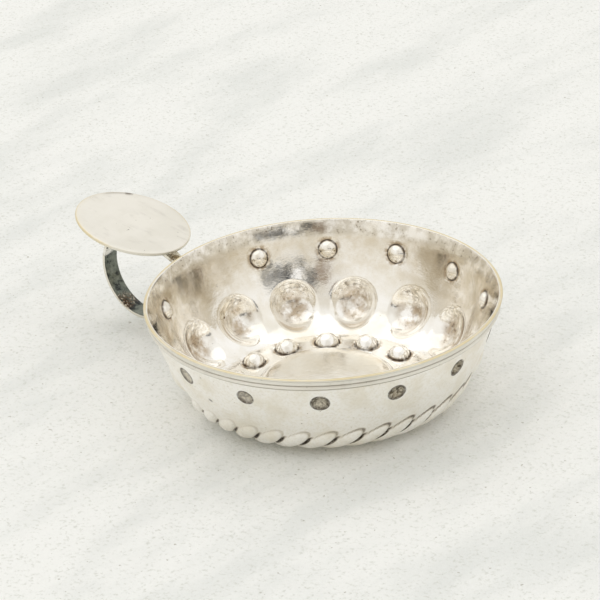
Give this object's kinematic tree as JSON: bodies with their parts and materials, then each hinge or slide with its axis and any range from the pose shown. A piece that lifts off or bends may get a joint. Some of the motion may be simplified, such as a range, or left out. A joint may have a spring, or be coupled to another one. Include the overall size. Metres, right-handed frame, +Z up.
{
  "type": "wine taster's cup",
  "caption": "Shallow round tasting cup of silver-plated sheet brass with beaded and gadrooned walls, a raised boss, a strap finger ring and an oval thumb rest",
  "frame": {"origin": "middle of the flat foot, on the table", "axes": "+Z up through the bowl's mouth; +X away from the handle, so the handle points along -X; +Y completes the right-handed set"},
  "size_m": [0.1152, 0.082, 0.03],
  "materials": {
    "silver_plate": "silver-plated brass sheet, polished, tarnished in the hollows",
    "worn_plate": "silver-plated brass, satin, worn through to the brass along the edges",
    "solder": "brazing solder, dull and uneven"
  },
  "bodies": {
    "root": {"bowl": "silver_plate", "rim_moulding": "worn_plate", "ring_handle": "silver_plate", "thumb_rest": "worn_plate", "upper_solder": "solder", "lower_solder": "solder", "thumb_solder": "solder"}
  },
  "joints": []
}
